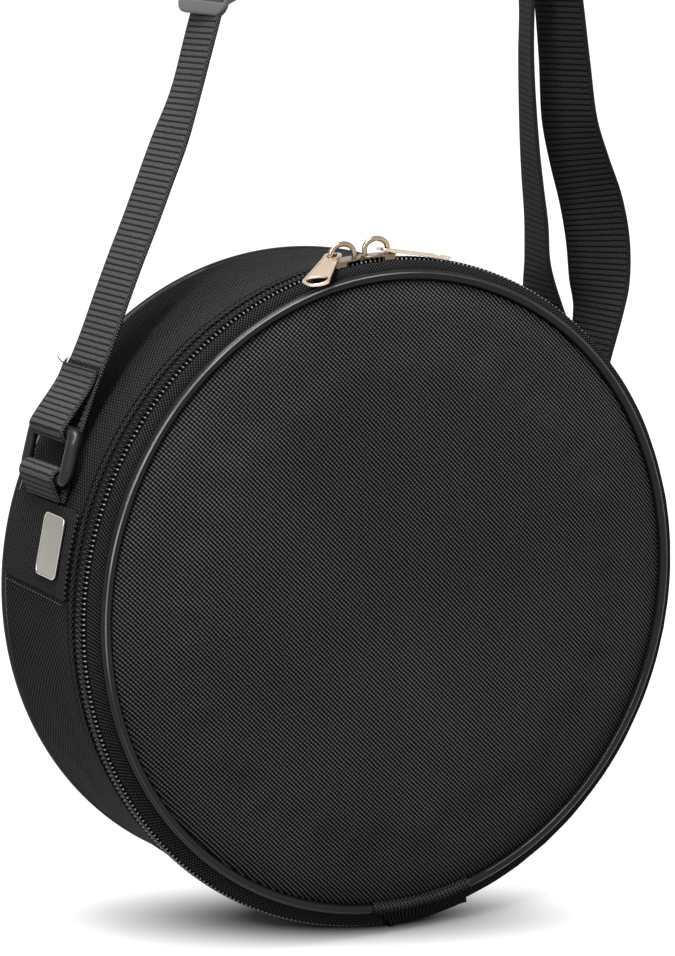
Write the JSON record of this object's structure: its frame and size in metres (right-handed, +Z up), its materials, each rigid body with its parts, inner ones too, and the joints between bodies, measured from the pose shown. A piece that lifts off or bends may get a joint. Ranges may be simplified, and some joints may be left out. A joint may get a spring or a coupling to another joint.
{
  "type": "frame drum bag",
  "caption": "Padded round bag for a small frame drum, with a zip round its rim, side rings and an adjustable webbing shoulder strap.",
  "frame": {"origin": "inner face of the strap's highest point, where a peg or a shoulder carries the strap", "axes": "+Z up, -Y the way the bag's zipped front panel faces, +X to the right seen from the front"},
  "size_m": [0.2276, 0.0865, 0.4748],
  "materials": {
    "fabric": "coarse black plain-weave polyester",
    "piping": "glossy black PVC piping",
    "foam": "soft padding inside",
    "lining": "smooth black lining",
    "zip": "black nylon coil zip and tape",
    "webbing": "ribbed black webbing",
    "plastic": "satin black moulded plastic",
    "gold": "polished pale gold metal",
    "badge": "bare satin silver metal"
  },
  "bodies": {
    "strap": {"strap_webbing": "webbing", "strap_return": "webbing", "strap_left_fold": "webbing", "strap_right_turn": "webbing", "strap_adjuster_fold": "webbing"},
    "adjuster": {"tri_glide": "plastic"},
    "bag": {"body_zip_coil": "zip", "body_zip_tape": "zip", "body_gusset_fabric": "fabric", "body_gusset_foam": "foam", "body_gusset_lining": "lining", "rear_panel_fabric": "fabric", "rear_panel_foam": "foam", "rear_panel_lining": "lining", "rear_piping": "piping", "rear_seam_binding": "lining", "hinge_patch": "fabric", "left_tab": "fabric", "right_tab": "fabric", "left_webbing_loop": "webbing", "right_webbing_loop": "webbing", "left_ring": "plastic", "right_ring": "plastic", "badge_plate": "badge"},
    "lid": {"front_panel_fabric": "fabric", "front_panel_foam": "foam", "front_panel_lining": "lining", "front_piping": "piping", "front_seam_binding": "lining", "lid_gusset_fabric": "fabric", "lid_zip_coil": "zip", "lid_zip_tape": "zip"},
    "left_slider": {"left_slider": "gold"},
    "right_slider": {"right_slider": "gold"},
    "left_pull": {"left_pull": "gold"},
    "right_pull": {"right_pull": "gold"}
  },
  "joints": [
    {"name": "adjuster_slide", "type": "slide", "parent": "strap", "child": "adjuster", "axis": [0.2907, 0, 0.9568], "range_m": [-0.01, 0.01], "deforming": ["strap_adjuster_fold"]},
    {"name": "bag_swing", "type": "hinge", "parent": "strap", "child": "bag", "pos_m": [0, 0, -0.29903], "axis": [1, 0, 0], "range_deg": [-30, 30], "deforming": ["strap_left_fold", "strap_right_turn"]},
    {"name": "lid_hinge", "type": "hinge", "parent": "bag", "child": "lid", "pos_m": [0.01499, -0.03805, -0.47017], "axis": [0.9912, 0, 0.1323], "range_deg": [0, 165], "deforming": ["hinge_patch"]},
    {"name": "left_slider_travel", "type": "hinge", "parent": "lid", "child": "left_slider", "pos_m": [0, -0.03805, -0.35786], "axis": [0, -1, 0], "range_deg": [0, 160]},
    {"name": "right_slider_travel", "type": "hinge", "parent": "lid", "child": "right_slider", "pos_m": [0, -0.03805, -0.35786], "axis": [0, 1, 0], "range_deg": [0, 152]},
    {"name": "left_pull_flip", "type": "hinge", "parent": "left_slider", "child": "left_pull", "pos_m": [-0.01667, -0.03805, -0.24357], "axis": [0, 1, 0], "range_deg": [0, 135]},
    {"name": "right_pull_flip", "type": "hinge", "parent": "right_slider", "child": "right_pull", "pos_m": [-0.00403, -0.03805, -0.24243], "axis": [0, -1, 0], "range_deg": [0, 135]}
  ]
}
